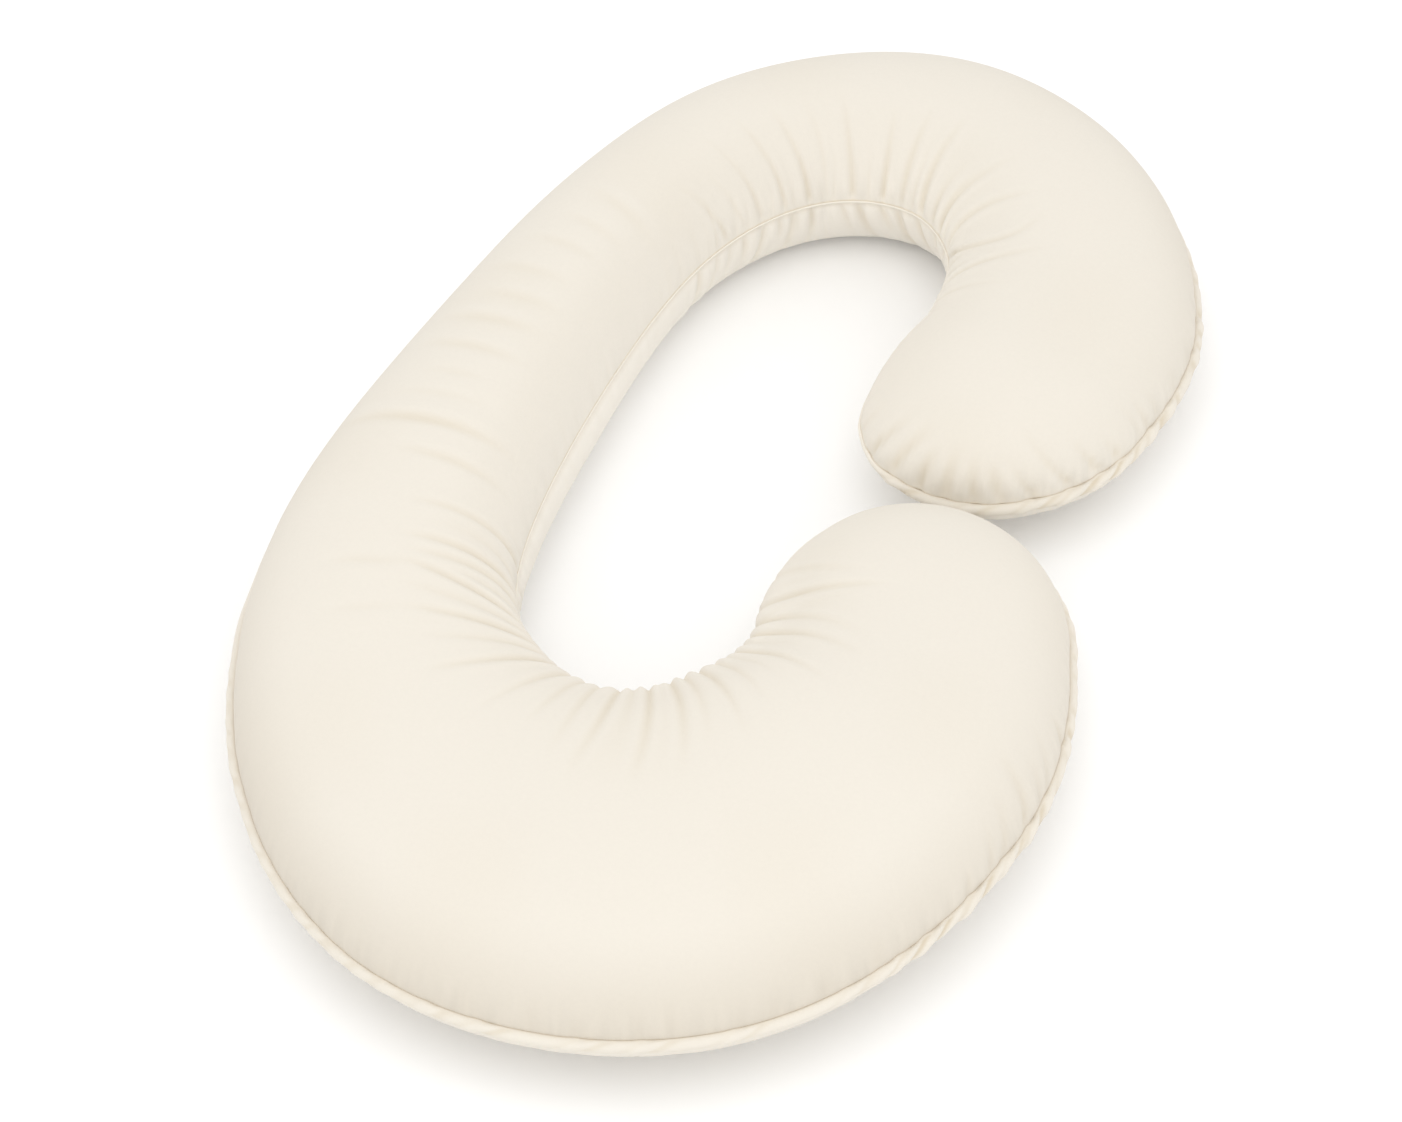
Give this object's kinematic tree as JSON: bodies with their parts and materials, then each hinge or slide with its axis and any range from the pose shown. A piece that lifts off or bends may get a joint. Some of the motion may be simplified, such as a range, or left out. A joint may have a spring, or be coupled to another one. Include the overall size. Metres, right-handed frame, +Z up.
{
  "type": "C-shaped pregnancy pillow",
  "caption": "Full-length C-shaped body pillow in plain cream cotton, lying on its back, with gathers along the inner curve and a soft roll round the seam.",
  "frame": {"origin": "middle of the pillow's outline in plan, on the surface that it lies on", "axes": "+Z up from the surface, +Y along the length from the wide knee end to the head end, +X towards the open side of the C"},
  "size_m": [0.8668, 1.4398, 0.2201],
  "materials": {
    "cover_cotton": "matt fine cotton, cream",
    "welt_cotton": "matt fine cotton, cream, folded into a soft roll"
  },
  "bodies": {
    "root": {"pillow": "cover_cotton", "seam_welt": "welt_cotton"}
  },
  "joints": []
}
